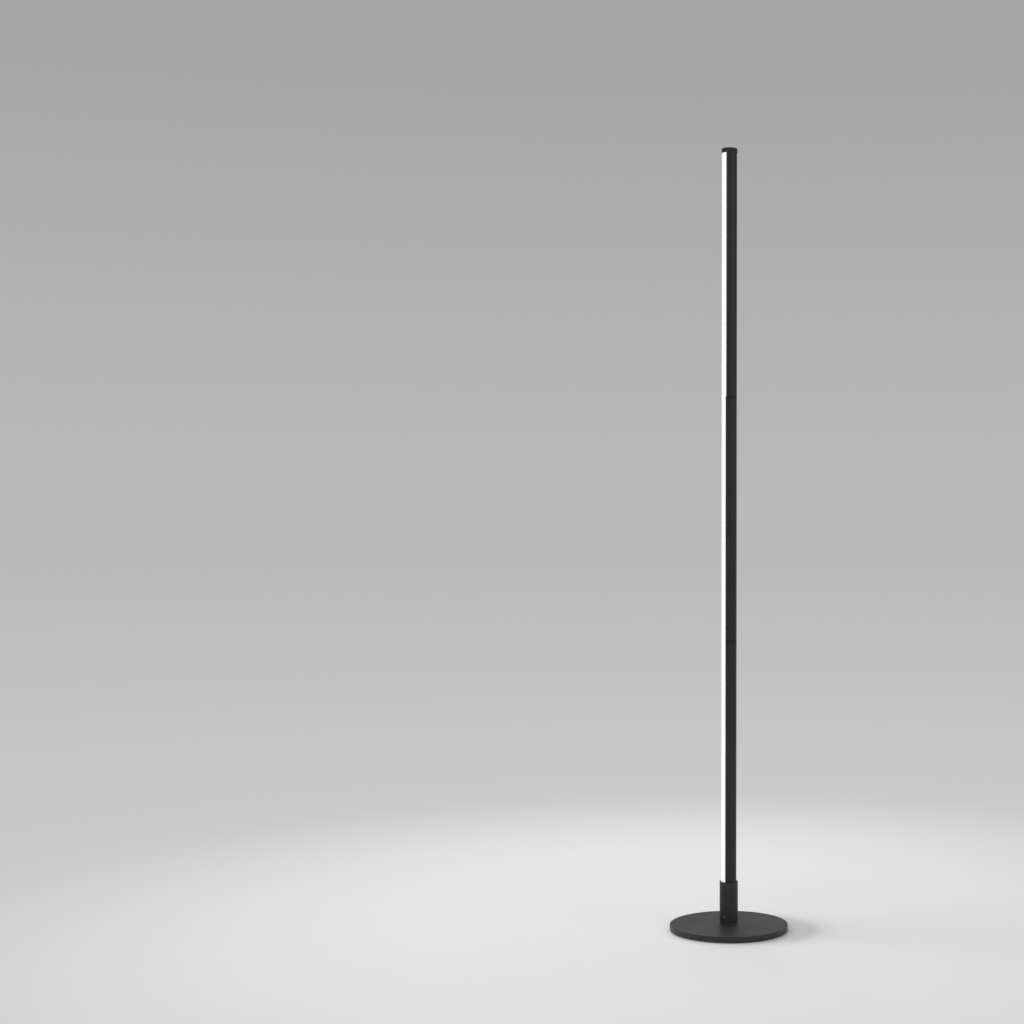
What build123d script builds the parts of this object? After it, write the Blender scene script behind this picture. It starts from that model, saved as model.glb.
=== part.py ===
from build123d import *
from math import cos, radians, sin, sqrt
import os

os.makedirs("parts", exist_ok=True)

# The whole lamp, in millimetres and degrees. The pole stands on the Z axis, the floor is z = 0,
# and the lit face of the pole looks along -X. The upper section stands turned a little.
LAMP_HEIGHT = 1400
BASE_RADIUS = 105.5
BASE_TOP = 11
COLLAR_RADIUS = 16.4
COLLAR_TOP = 87
POLE_RADIUS = 13.6
SECTION_LENGTH = 438
CAP_RADIUS = 14.2
CAP_HEIGHT = 8
LIT_HALF_ANGLE = 59
SECTION_TURN = {"lower": 0, "middle": 0, "upper": 4}
CONTROL_AZIMUTH = 239
JACK_AZIMUTH = CONTROL_AZIMUTH - 180

# Room between pieces: a turned fit, and a moulded piece inside an extrusion
FIT = 0.05
ROOM = 0.2

# Steel disc and the rubber pad let into its underside
PAD_RADIUS = 98
PAD_THICKNESS = 3
PAD_PROUD = 1
PAD_HOLE = 12
PAD_ROUND = 0.5
RIM_ROUND = 0.5
RIM_CHAMFER = 0.6

# Bolt that goes up through the disc into the collar
BOLT_RADIUS = 4
BOLT_CLEARANCE = 0.3
BOLT_HEAD_RADIUS = 6.5
BOLT_HEAD = 3.8
BOLT_CHAMFER = 0.6
BOLT_SOCKET = 5
BOLT_SOCKET_DEPTH = 2.4
BOLT_WASHER_RADIUS = 7.6
BOLT_WASHER = 1.2
BOLT_SEAT = 6.5
BOLT_TIP = 20

# Collar: a turned cup on a thin foot ring, with a shadow groove above the ring
FOOT_RING_RADIUS = 16.8
FOOT_RING = 3
FOOT_RING_EDGE = 1
GROOVE_RADIUS = 15.6
GROOVE = 2.5
COLLAR_BORE = 14
COLLAR_FLOOR = 20.5
COLLAR_EDGE = 0.4

# Grub screw that locks the spigot carrier in the collar
GRUB_HEIGHT = 70
GRUB_RADIUS = 2
GRUB_TIP = 10.5
GRUB_HEAD = 15.8
GRUB_SOCKET = 2
GRUB_SOCKET_DEPTH = 2.2

# Push button in the collar wall, and the switch on the board behind it. Distances are from the axis.
BUTTON_HEIGHT = 25
BUTTON_RADIUS = 3
BUTTON_PLAY = 0.1
BUTTON_FACE = 17.2
BUTTON_ROUND = 0.5
BUTTON_FLANGE_RADIUS = 3.8
BUTTON_FLANGE = 0.8
BUTTON_FLANGE_FACE = 13
BUTTON_HUB_RADIUS = 2.2
BUTTON_BACK = 11.5
PLUNGER_RADIUS = 1.75
PLUNGER_BACK = 9
SWITCH_SIDE = 6.2
SWITCH_FACE = 10
SWITCH_WELL = 7.5

# Round power inlet at the back of the collar. Distances are from the axis.
JACK_HEIGHT = 40
JACK_BEZEL_RADIUS = 5.3
JACK_SPOT_RADIUS = 5.5
JACK_SPOT = 14.9
JACK_FACE = 16.5
JACK_BARREL = 4
JACK_BACK = 3.9
JACK_BORE = 2.75
JACK_BORE_DEPTH = 9.5
JACK_EDGE = 0.4
JACK_PIN = 1
JACK_PIN_TIP = 14.4
JACK_PIN_TAIL = 2.4
JACK_NUT_FLATS = 9.2
JACK_NUT = 2
JACK_NUT_FACE = 12.6

# Control board, upright in the collar. Distances are from the axis, along the button's direction.
BOARD_BACK = 5.2
BOARD = 1.6
BOARD_WIDTH = 20
BOARD_FOOT = 21.5
BOARD_TOP = 60
BOARD_RIB = 1.5
BOARD_RIB_WIDTH = 14
BOARD_GRIP = 54
CHIP_SIZE = (6, 5, 1.6)
CHIP_HEIGHT = 42
COIL_SIZE = (7, 7, 4)
COIL_HEIGHT = 28
CAPACITOR_RADIUS = 3.1
CAPACITOR_LENGTH = 5.5
CAPACITOR_HEIGHT = 50
RESISTOR_SIZE = (1.6, 3.2, 0.6)
RESISTOR_HEIGHT = 33
RESISTOR_PITCH = 4
RESISTOR_COUNT = 4
LEAD_RADIUS = 0.7
LEAD_BEND = 1.8
INLET_LEADS = 2
INLET_LEADS_RUN = -1.5
INLET_LEADS_RISE = 46
CONTACT_LEADS = 6
CONTACT_LEADS_RUN = 2.4
CONTACT_LEADS_FOOT = 50

# Plug and socket between one section and the next: a steel spigot with a centre contact,
# turning in a brass sleeve on a nylon washer that fills the seam
SEAM_GAP = 0.3
FLANGE = 3
SPIGOT_RADIUS = 3.5
SPIGOT_BORE = 2
SPIGOT_SEAT = 14
SPIGOT_REACH = 30
SPIGOT_CHAMFER = 0.6
STEM_REACH = 28
CONTACT_RADIUS = 0.9
CONTACT_SEAT = 14
CONTACT_REACH = 36
CONTACT_CHAMFER = 0.4
WASHER_RADIUS = 6.5
WASHER_BORE = 3.6
SLEEVE_WALL = 0.65
SLEEVE_TOP = 31
CONTACT_SOCKET_RADIUS = 1.6
CONTACT_SOCKET_TOP = 37
SOCKET_PLUG_TOP = 40
SPIGOT_PLUG_INSERT = 22
CARRIER_FOOT = 62

# Extruded pole: a round tube cut flat for the light, with a web, two snap grooves and two screw ports
FLAT_FRONT = POLE_RADIUS * cos(radians(LIT_HALF_ANGLE))
FLAT_HALF = sqrt(POLE_RADIUS**2 - FLAT_FRONT**2)
POLE_WALL = 1.6
CORNER_BACK = 3.8
CORNER_INNER = 7.9
CORNER_OUTER = 11.5
GROOVE_BACK = 4.9
GROOVE_INNER = 9.2
GROOVE_OUTER = 10.5
UNDERCUT = 0.5
UNDERCUT_DEPTH = 1
PORT_BACK = 6
PORT_SIDE = 7.15
PORT_BOSS = 2.8
PORT_BORE = 1.25
FEED_HOLE = 0.9
FEED_SIDE = 2
FEED_HEIGHT = 46
FEED_BACK = 2.5
FEED_RADIUS = 0.5
FEED_BEND = 1.5
THROUGH_LEADS = [(4, 2), (4, -2)]

# Opal diffuser that snaps into the grooves, and the strip of light behind it
DIFFUSER_WALL = 1.8
DIFFUSER_GAP = 0.1
LEG_INNER = 9.45
LEG_OUTER = 10.25
LEG_BACK = 5.1
BARB_OUTER = 10.75
BARB = 0.7
STRIP = 1
STRIP_WIDTH = 10
STRIP_INSET = 1
LED_SIZE = (2.8, 3.5, 0.7)
LED_COUNT = 50
LED_INSET = 7

# Countersunk screws that run into the screw ports
SCREW_HEAD = 2.4
SCREW_RADIUS = 1.2
SCREW_CLEARANCE = 1.5
SCREW_LENGTH = 12
SCREW_SOCKET = 1.5
SCREW_SOCKET_DEPTH = 0.9
COUNTERSINK_ANGLE = 90

# Top cap
CAP_INSERT = 10
CAP_ROUND = 0.8
CAP_CHAMFER = 0.3

# Heights that follow from the driving dimensions
FOOT_RING_TOP = BASE_TOP + FOOT_RING
GROOVE_TOP = FOOT_RING_TOP + GROOVE
POLE_FOOT = LAMP_HEIGHT - CAP_HEIGHT - len(SECTION_TURN) * SECTION_LENGTH
SEAM = {name: POLE_FOOT + order * SECTION_LENGTH for order, name in enumerate(SECTION_TURN)}
TOP_SECTION = "upper"
HEX_SIDES = 6
HALF_GAP = SEAM_GAP / 2
PORTS = [(PORT_BACK, PORT_SIDE), (PORT_BACK, -PORT_SIDE)]
STAND = (Align.CENTER, Align.CENTER, Align.MIN)
HANG = (Align.CENTER, Align.CENTER, Align.MAX)


def save(piece, name):
    """Labels a finished piece and writes its file."""
    piece.part.label = name
    export_step(piece.part, f"parts/{name}.step")


def radial_plane(azimuth, height, distance):
    """Plane that faces outward at a distance from the lamp's axis, with its y axis upward."""
    out = Vector(cos(radians(azimuth)), sin(radians(azimuth)), 0)
    tangent = (-out.Y, out.X, 0)
    return Plane(origin=out * distance + Vector(0, 0, height), x_dir=tangent, z_dir=out)


def upright_plane(azimuth, sideways):
    """Plane through the lamp's axis, x outward along an azimuth and y upward, moved sideways."""
    out = Vector(cos(radians(azimuth)), sin(radians(azimuth)), 0)
    normal = Vector(out.Y, -out.X, 0)
    return Plane(origin=normal * sideways, x_dir=out, z_dir=normal)


def section_plane(section, height):
    """Plane across the pole at a height above a section's lower seam, turned with the section."""
    turn = radians(SECTION_TURN[section])
    return Plane(origin=(0, 0, SEAM[section] + height), x_dir=(cos(turn), sin(turn), 0))


def d_outline():
    """Draws the pole's round outline with its flat front."""
    Circle(POLE_RADIUS)
    with Locations((-FLAT_FRONT, 0)):
        Rectangle(POLE_RADIUS, 2 * POLE_RADIUS, align=(Align.MAX, Align.CENTER), mode=Mode.SUBTRACT)


def span(x_range, y_range, mode=Mode.ADD):
    """Draws one rectangle between two x and two y values, and its mirror image below the x axis."""
    width = x_range[1] - x_range[0]
    height = y_range[1] - y_range[0]
    middle = (sum(x_range) / 2, sum(y_range) / 2)
    with Locations(middle, (middle[0], -middle[1])):
        Rectangle(width, height, mode=mode)


def insert_outline():
    """Draws the shape that slides into the pole's rear chamber."""
    Circle(POLE_RADIUS - POLE_WALL - ROOM)
    with Locations((POLE_WALL + ROOM - FLAT_FRONT, 0)):
        Rectangle(POLE_RADIUS, 2 * POLE_RADIUS, align=(Align.MAX, Align.CENTER), mode=Mode.SUBTRACT)
    span((-FLAT_FRONT, ROOM - CORNER_BACK), (CORNER_INNER - ROOM, POLE_RADIUS), mode=Mode.SUBTRACT)
    with Locations(*PORTS):
        Circle(PORT_BOSS + ROOM, mode=Mode.SUBTRACT)


def spigot_seat(top):
    """Cuts the spigot's pocket below a plane and leaves the drilled insulating stem standing in it."""
    with Locations(top):
        Cylinder(SPIGOT_RADIUS, SPIGOT_SEAT, align=HANG, mode=Mode.SUBTRACT)
    with Locations(top.offset(-SPIGOT_SEAT)):
        Cylinder(SPIGOT_BORE - FIT, SPIGOT_SEAT + STEM_REACH, align=STAND)
    with Locations(top.offset(STEM_REACH)):
        Cylinder(CONTACT_RADIUS, STEM_REACH - CONTACT_SEAT, align=HANG, mode=Mode.SUBTRACT)


def build_spigot(name, top):
    """Makes the steel spigot, its centre contact and the seam washer that stand on a plane."""
    with BuildPart() as spigot:
        with Locations(top.offset(-SPIGOT_SEAT)):
            Cylinder(SPIGOT_RADIUS, SPIGOT_SEAT + SPIGOT_REACH, align=STAND)
        chamfer(spigot.edges().group_by(Axis.Z)[-1], length=SPIGOT_CHAMFER)
        with Locations(top.offset(-SPIGOT_SEAT)):
            Cylinder(SPIGOT_BORE, SPIGOT_SEAT + SPIGOT_REACH, align=STAND, mode=Mode.SUBTRACT)
    save(spigot, f"{name}_spigot")

    with BuildPart() as contact_pin:
        with Locations(top.offset(CONTACT_SEAT)):
            Cylinder(CONTACT_RADIUS, CONTACT_REACH - CONTACT_SEAT, align=STAND)
        chamfer(contact_pin.edges().group_by(Axis.Z)[-1], length=CONTACT_CHAMFER)
    save(contact_pin, f"{name}_contact_pin")

    with BuildPart() as friction_washer:
        with BuildSketch(top):
            Circle(WASHER_RADIUS)
            Circle(WASHER_BORE, mode=Mode.SUBTRACT)
        extrude(amount=SEAM_GAP)
    save(friction_washer, f"{name}_friction_washer")


def screws(planes):
    """Adds a countersunk screw in each port of each plane, its head on the plane, pointing downward."""
    for plane in planes:
        with Locations(*[plane * Location((*port, 0)) for port in PORTS]):
            Cylinder(SCREW_RADIUS, SCREW_LENGTH, align=HANG)
            Cone(SCREW_RADIUS, SCREW_HEAD, SCREW_HEAD - SCREW_RADIUS, align=HANG)
        with BuildSketch(plane) as recess:
            with Locations(*PORTS):
                RegularPolygon(SCREW_SOCKET / 2, HEX_SIDES, major_radius=False)
        extrude(recess.sketch, amount=-SCREW_SOCKET_DEPTH, mode=Mode.SUBTRACT)


def screw_holes(plane, depth):
    """Cuts the countersunk clearance holes of two port screws, downward from a plane."""
    with Locations(*[plane * Location((*port, 0)) for port in PORTS]):
        CounterSinkHole(SCREW_CLEARANCE, SCREW_HEAD + FIT, depth, COUNTERSINK_ANGLE)


# Base plate: laser-cut steel disc, rounded above, recessed for the pad and counterbored for the bolt
with BuildPart() as base_plate:
    with BuildSketch(Plane.XY.offset(PAD_PROUD)):
        Circle(BASE_RADIUS)
    extrude(amount=BASE_TOP - PAD_PROUD)
    fillet(base_plate.edges().group_by(Axis.Z)[-1], radius=RIM_ROUND)
    chamfer(base_plate.edges().group_by(Axis.Z)[0], length=RIM_CHAMFER)
    with BuildSketch(Plane.XY.offset(PAD_PROUD)):
        Circle(PAD_RADIUS + ROOM)
    extrude(amount=PAD_THICKNESS - PAD_PROUD, mode=Mode.SUBTRACT)
    with Locations(Plane(origin=(0, 0, PAD_THICKNESS), z_dir=(0, 0, -1))):
        CounterBoreHole(BOLT_RADIUS + BOLT_CLEARANCE, BOLT_WASHER_RADIUS + ROOM, BOLT_SEAT - PAD_THICKNESS)
save(base_plate, "base_plate")

# Base pad: soft rubber disc with a hole that reaches the bolt
with BuildPart() as base_pad:
    with BuildSketch():
        Circle(PAD_RADIUS)
        Circle(PAD_HOLE, mode=Mode.SUBTRACT)
    extrude(amount=PAD_THICKNESS)
    fillet(base_pad.edges().group_by(Axis.Z)[0], radius=PAD_ROUND)
save(base_pad, "base_pad")

# Bolt washer and hexagon socket bolt, fitted from below
with BuildPart() as base_washer:
    with BuildSketch(Plane.XY.offset(BOLT_SEAT)):
        Circle(BOLT_WASHER_RADIUS)
        Circle(BOLT_RADIUS + BOLT_CLEARANCE, mode=Mode.SUBTRACT)
    extrude(amount=-BOLT_WASHER)
save(base_washer, "base_washer")

with BuildPart() as base_bolt:
    with BuildSketch(Plane.XY.offset(BOLT_SEAT - BOLT_WASHER)):
        Circle(BOLT_HEAD_RADIUS)
    extrude(amount=-BOLT_HEAD)
    chamfer(base_bolt.edges().group_by(Axis.Z)[0], length=BOLT_CHAMFER)
    with BuildSketch(Plane.XY.offset(BOLT_SEAT - BOLT_WASHER - BOLT_HEAD)):
        RegularPolygon(BOLT_SOCKET / 2, HEX_SIDES, major_radius=False)
    extrude(amount=BOLT_SOCKET_DEPTH, mode=Mode.SUBTRACT)
    with BuildSketch(Plane.XY.offset(BOLT_SEAT - BOLT_WASHER)):
        Circle(BOLT_RADIUS - FIT)
    extrude(amount=BOLT_TIP - BOLT_SEAT + BOLT_WASHER)
    chamfer(base_bolt.edges().group_by(Axis.Z)[-1], length=BOLT_CHAMFER)
save(base_bolt, "base_bolt")

# Foot ring between the disc and the collar
with BuildPart() as foot_ring:
    with BuildSketch(Plane.XY.offset(BASE_TOP)):
        Circle(FOOT_RING_RADIUS)
    extrude(amount=FOOT_RING)
    chamfer(foot_ring.edges().group_by(Axis.Z)[-1], length=FOOT_RING_EDGE)
    with Locations((0, 0, FOOT_RING_TOP)):
        Hole(BOLT_RADIUS + BOLT_CLEARANCE)
save(foot_ring, "foot_ring")

# Collar: turned cup, threaded in its floor, drilled for the grub screw, the button and the inlet
with BuildPart() as collar:
    with BuildSketch(Plane.XY.offset(FOOT_RING_TOP)):
        Circle(GROOVE_RADIUS)
    extrude(amount=GROOVE)
    with BuildSketch(Plane.XY.offset(GROOVE_TOP)):
        Circle(COLLAR_RADIUS)
    extrude(amount=COLLAR_TOP - GROOVE_TOP)
    chamfer(collar.edges().group_by(Axis.Z)[-1], length=COLLAR_EDGE)
    with Locations((0, 0, COLLAR_TOP)):
        Hole(COLLAR_BORE, COLLAR_TOP - COLLAR_FLOOR)
    with Locations((0, 0, COLLAR_FLOOR)):
        Hole(BOLT_RADIUS, COLLAR_FLOOR - FOOT_RING_TOP)
    with Locations(radial_plane(CONTROL_AZIMUTH, GRUB_HEIGHT, COLLAR_RADIUS)):
        Hole(GRUB_RADIUS, COLLAR_RADIUS)
    with Locations(radial_plane(CONTROL_AZIMUTH, BUTTON_HEIGHT, COLLAR_RADIUS)):
        Hole(BUTTON_RADIUS + BUTTON_PLAY, COLLAR_RADIUS)
    with Locations(radial_plane(JACK_AZIMUTH, JACK_HEIGHT, JACK_FACE)):
        CounterBoreHole(JACK_BARREL + FIT, JACK_SPOT_RADIUS, JACK_FACE - JACK_SPOT, JACK_FACE)
save(collar, "collar")

# Spigot carrier: moulded plug locked in the mouth of the collar, with two ribs that grip the board
with BuildPart() as spigot_carrier:
    with BuildSketch(Plane.XY.offset(CARRIER_FOOT)):
        Circle(COLLAR_BORE - FIT)
    extrude(amount=POLE_FOOT - HALF_GAP - CARRIER_FOOT)
    spigot_seat(Plane.XY.offset(POLE_FOOT - HALF_GAP))
    for rib_face in (BOARD_BACK - FIT - BOARD_RIB, BOARD_BACK + BOARD + FIT):
        with BuildSketch(radial_plane(CONTROL_AZIMUTH, CARRIER_FOOT, rib_face)):
            Rectangle(BOARD_RIB_WIDTH, CARRIER_FOOT - BOARD_GRIP, align=(Align.CENTER, Align.MAX))
        extrude(amount=BOARD_RIB)
    with Locations(radial_plane(CONTROL_AZIMUTH, GRUB_HEIGHT, COLLAR_RADIUS)):
        Hole(GRUB_RADIUS, COLLAR_RADIUS - GRUB_TIP)
save(spigot_carrier, "spigot_carrier")
build_spigot("base", Plane.XY.offset(POLE_FOOT - HALF_GAP))

# Grub screw with a hexagon socket
with BuildPart() as grub_screw:
    with BuildSketch(radial_plane(CONTROL_AZIMUTH, GRUB_HEIGHT, GRUB_TIP)):
        Circle(GRUB_RADIUS - FIT)
    extrude(amount=GRUB_HEAD - GRUB_TIP)
    with BuildSketch(radial_plane(CONTROL_AZIMUTH, GRUB_HEIGHT, GRUB_HEAD)):
        RegularPolygon(GRUB_SOCKET / 2, HEX_SIDES, major_radius=False)
    extrude(amount=-GRUB_SOCKET_DEPTH, mode=Mode.SUBTRACT)
save(grub_screw, "grub_screw")

# Push button: a cap that stands proud of the collar, a flange that keeps it in and a hub on the switch
with BuildPart() as switch_button:
    with BuildSketch(radial_plane(CONTROL_AZIMUTH, BUTTON_HEIGHT, BUTTON_FLANGE_FACE)):
        Circle(BUTTON_RADIUS)
    extrude(amount=BUTTON_FACE - BUTTON_FLANGE_FACE)
    front = radial_plane(CONTROL_AZIMUTH, BUTTON_HEIGHT, BUTTON_FACE)
    fillet(switch_button.faces().sort_by(Axis(front.origin, front.z_dir))[-1].edges(), radius=BUTTON_ROUND)
    with BuildSketch(radial_plane(CONTROL_AZIMUTH, BUTTON_HEIGHT, BUTTON_FLANGE_FACE)):
        Circle(BUTTON_FLANGE_RADIUS)
    extrude(amount=-BUTTON_FLANGE)
    with BuildSketch(radial_plane(CONTROL_AZIMUTH, BUTTON_HEIGHT, BUTTON_BACK)):
        Circle(BUTTON_HUB_RADIUS)
    extrude(amount=BUTTON_FLANGE_FACE - BUTTON_FLANGE - BUTTON_BACK)
save(switch_button, "switch_button")

# Switch plunger, which the button pushes, and the switch that it slides in
with BuildPart() as switch_plunger:
    with BuildSketch(radial_plane(CONTROL_AZIMUTH, BUTTON_HEIGHT, PLUNGER_BACK)):
        Circle(PLUNGER_RADIUS)
    extrude(amount=BUTTON_BACK - PLUNGER_BACK)
save(switch_plunger, "switch_plunger")

with BuildPart() as switch_body:
    with BuildSketch(radial_plane(CONTROL_AZIMUTH, BUTTON_HEIGHT, BOARD_BACK + BOARD)):
        Rectangle(SWITCH_SIDE, SWITCH_SIDE)
    extrude(amount=SWITCH_FACE - BOARD_BACK - BOARD)
    with Locations(radial_plane(CONTROL_AZIMUTH, BUTTON_HEIGHT, SWITCH_FACE)):
        Hole(PLUNGER_RADIUS + BUTTON_PLAY, SWITCH_FACE - SWITCH_WELL)
save(switch_body, "switch_body")

# Control board and the parts soldered to it
with BuildPart() as control_board:
    with BuildSketch(radial_plane(CONTROL_AZIMUTH, BOARD_FOOT, BOARD_BACK)):
        Rectangle(BOARD_WIDTH, BOARD_TOP - BOARD_FOOT, align=(Align.CENTER, Align.MIN))
    extrude(amount=BOARD)
save(control_board, "control_board")

with BuildPart() as board_components:
    with Locations(radial_plane(CONTROL_AZIMUTH, CHIP_HEIGHT, BOARD_BACK + BOARD)):
        Box(*CHIP_SIZE, align=STAND)
    with Locations(radial_plane(CONTROL_AZIMUTH, COIL_HEIGHT, BOARD_BACK)):
        Box(*COIL_SIZE, align=HANG)
    with Locations(radial_plane(CONTROL_AZIMUTH, CAPACITOR_HEIGHT, BOARD_BACK)):
        Cylinder(CAPACITOR_RADIUS, CAPACITOR_LENGTH, align=HANG)
    with Locations(radial_plane(CONTROL_AZIMUTH, RESISTOR_HEIGHT, BOARD_BACK + BOARD)):
        with GridLocations(RESISTOR_PITCH, 0, RESISTOR_COUNT, 1):
            Box(*RESISTOR_SIZE, align=STAND)
save(board_components, "board_components")

# Power inlet: flanged barrel with a blind bore, its centre contact and the nut that holds it
with BuildPart() as dc_jack:
    with BuildSketch(radial_plane(JACK_AZIMUTH, JACK_HEIGHT, JACK_SPOT)):
        Circle(JACK_BEZEL_RADIUS)
    extrude(amount=JACK_FACE - JACK_SPOT)
    bezel = radial_plane(JACK_AZIMUTH, JACK_HEIGHT, JACK_FACE)
    chamfer(dc_jack.faces().sort_by(Axis(bezel.origin, bezel.z_dir))[-1].edges(), length=JACK_EDGE)
    with BuildSketch(radial_plane(JACK_AZIMUTH, JACK_HEIGHT, JACK_BACK)):
        Circle(JACK_BARREL)
    extrude(amount=JACK_SPOT - JACK_BACK)
    with Locations(bezel):
        CounterBoreHole(JACK_PIN, JACK_BORE, JACK_BORE_DEPTH, JACK_FACE)
save(dc_jack, "dc_jack")

with BuildPart() as dc_jack_contact:
    with BuildSketch(radial_plane(JACK_AZIMUTH, JACK_HEIGHT, JACK_PIN_TAIL)):
        Circle(JACK_PIN - FIT)
    extrude(amount=JACK_PIN_TIP - JACK_PIN_TAIL)
    pin_tip = radial_plane(JACK_AZIMUTH, JACK_HEIGHT, JACK_PIN_TIP)
    fillet(dc_jack_contact.faces().sort_by(Axis(pin_tip.origin, pin_tip.z_dir))[-1].edges(), radius=JACK_EDGE)
save(dc_jack_contact, "dc_jack_contact")

with BuildPart() as dc_jack_nut:
    with BuildSketch(radial_plane(JACK_AZIMUTH, JACK_HEIGHT, JACK_NUT_FACE)):
        RegularPolygon(JACK_NUT_FLATS / 2, HEX_SIDES, major_radius=False)
        Circle(JACK_BARREL + FIT, mode=Mode.SUBTRACT)
    extrude(amount=-JACK_NUT)
save(dc_jack_nut, "dc_jack_nut")

# Insulated leads inside the collar: from the inlet to the board, and from the board to the contacts
with BuildPart() as power_leads:
    for side in (-1, 1):
        with BuildLine(upright_plane(CONTROL_AZIMUTH, side * INLET_LEADS)) as inlet_lead:
            FilletPolyline(
                (-JACK_BACK, JACK_HEIGHT),
                (INLET_LEADS_RUN, JACK_HEIGHT),
                (INLET_LEADS_RUN, INLET_LEADS_RISE),
                (BOARD_BACK, INLET_LEADS_RISE),
                radius=LEAD_BEND,
            )
        with BuildSketch(Plane(inlet_lead.line @ 0, z_dir=inlet_lead.line % 0)):
            Circle(LEAD_RADIUS)
        sweep(path=inlet_lead.line)
        with BuildLine(upright_plane(CONTROL_AZIMUTH, side * CONTACT_LEADS)) as contact_lead:
            FilletPolyline(
                (BOARD_BACK, CONTACT_LEADS_FOOT),
                (CONTACT_LEADS_RUN, CONTACT_LEADS_FOOT),
                (CONTACT_LEADS_RUN, CARRIER_FOOT),
                radius=LEAD_BEND,
            )
        with BuildSketch(Plane(contact_lead.line @ 0, z_dir=contact_lead.line % 0)):
            Circle(LEAD_RADIUS)
        sweep(path=contact_lead.line)
save(power_leads, "power_leads")

# The three light sections are alike: each is a length of pole with its diffuser, its strip of light,
# a socket plug at its foot and, apart from the uppermost, a spigot plug at its head
for section in SECTION_TURN:
    is_top = section == TOP_SECTION
    pole_foot = HALF_GAP + FLANGE
    pole_head = SECTION_LENGTH if is_top else SECTION_LENGTH - HALF_GAP - FLANGE
    lit_length = SECTION_LENGTH - SEAM_GAP

    # Extruded pole, with two holes through its web for the strip's feed
    with BuildPart() as profile:
        with BuildSketch(section_plane(section, pole_foot)):
            d_outline()
            Circle(POLE_RADIUS - POLE_WALL, mode=Mode.SUBTRACT)
            span((-FLAT_FRONT, POLE_WALL - FLAT_FRONT), (0, FLAT_HALF))
            span((-FLAT_FRONT, -CORNER_BACK), (CORNER_INNER, CORNER_OUTER))
            span((-FLAT_FRONT, -GROOVE_BACK), (GROOVE_INNER, GROOVE_OUTER), mode=Mode.SUBTRACT)
            span(
                (-GROOVE_BACK - UNDERCUT_DEPTH, -GROOVE_BACK),
                (GROOVE_OUTER, GROOVE_OUTER + UNDERCUT),
                mode=Mode.SUBTRACT,
            )
            with Locations(*PORTS):
                Circle(PORT_BOSS)
                Circle(PORT_BORE, mode=Mode.SUBTRACT)
        extrude(amount=pole_head - pole_foot)
        feed = section_plane(section, FEED_HEIGHT)
        with BuildSketch(Plane(origin=feed.origin, x_dir=feed.y_dir, z_dir=-feed.x_dir)):
            with Locations((FEED_SIDE, 0), (-FEED_SIDE, 0)):
                Circle(FEED_HOLE)
        extrude(amount=POLE_RADIUS, mode=Mode.SUBTRACT)
    save(profile, f"{section}_profile")

    # Opal diffuser: an arc flush with the pole, on two barbed legs that stop short of the flanges
    with BuildPart() as diffuser:
        with BuildSketch(section_plane(section, HALF_GAP)):
            Circle(POLE_RADIUS)
            Circle(POLE_RADIUS - DIFFUSER_WALL, mode=Mode.SUBTRACT)
            with Locations((-FLAT_FRONT - DIFFUSER_GAP, 0)):
                Rectangle(
                    2 * POLE_RADIUS,
                    2 * POLE_RADIUS,
                    align=(Align.MIN, Align.CENTER),
                    mode=Mode.SUBTRACT,
                )
        extrude(amount=lit_length)
        with BuildSketch(section_plane(section, pole_foot + SEAM_GAP)):
            span((-FLAT_FRONT - DIFFUSER_GAP - BARB, -LEG_BACK), (LEG_INNER, LEG_OUTER))
            span((-LEG_BACK - BARB, -LEG_BACK), (LEG_OUTER, BARB_OUTER))
        extrude(amount=SECTION_LENGTH - 2 * (pole_foot + SEAM_GAP))
    save(diffuser, f"{section}_diffuser")

    # Circuit strip on the flat of the pole, and its row of light-emitting diodes
    with BuildPart() as led_board:
        with BuildSketch(section_plane(section, STRIP_INSET)):
            with Locations((-FLAT_FRONT, 0)):
                Rectangle(STRIP, STRIP_WIDTH, align=(Align.MAX, Align.CENTER))
        extrude(amount=SECTION_LENGTH - 2 * STRIP_INSET)
    save(led_board, f"{section}_led_board")

    led_pitch = (SECTION_LENGTH - 2 * LED_INSET) / (LED_COUNT - 1)
    middle = section_plane(section, SECTION_LENGTH / 2)
    strip_face = Plane(
        origin=middle.origin - middle.x_dir * (FLAT_FRONT + STRIP), x_dir=-middle.y_dir, z_dir=-middle.x_dir
    )
    with BuildPart() as led_chips:
        with BuildSketch(strip_face):
            with GridLocations(0, led_pitch, 1, LED_COUNT):
                Rectangle(*LED_SIZE[:2])
        extrude(amount=LED_SIZE[2])
    save(led_chips, f"{section}_led_chips")

    # Socket plug at the foot: a flange on the pole's end and an insert bored for the brass pieces
    foot = section_plane(section, HALF_GAP)
    foot_from_below = Plane(origin=foot.origin, x_dir=foot.x_dir, z_dir=-foot.z_dir)
    with BuildPart() as socket_plug:
        with BuildSketch(foot):
            d_outline()
        extrude(amount=FLANGE)
        with BuildSketch(section_plane(section, pole_foot)):
            insert_outline()
        extrude(amount=SOCKET_PLUG_TOP - pole_foot)
        with Locations(foot_from_below):
            Hole(SPIGOT_RADIUS + FIT + SLEEVE_WALL, SLEEVE_TOP - HALF_GAP)
            Hole(CONTACT_SOCKET_RADIUS, CONTACT_SOCKET_TOP - HALF_GAP)
        screw_holes(foot_from_below, FLANGE)
    save(socket_plug, f"{section}_socket_plug")

    with BuildPart() as socket_sleeve:
        with BuildSketch(foot):
            Circle(SPIGOT_RADIUS + FIT + SLEEVE_WALL)
            Circle(SPIGOT_RADIUS + FIT, mode=Mode.SUBTRACT)
        extrude(amount=SLEEVE_TOP - HALF_GAP)
    save(socket_sleeve, f"{section}_socket_sleeve")

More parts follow.
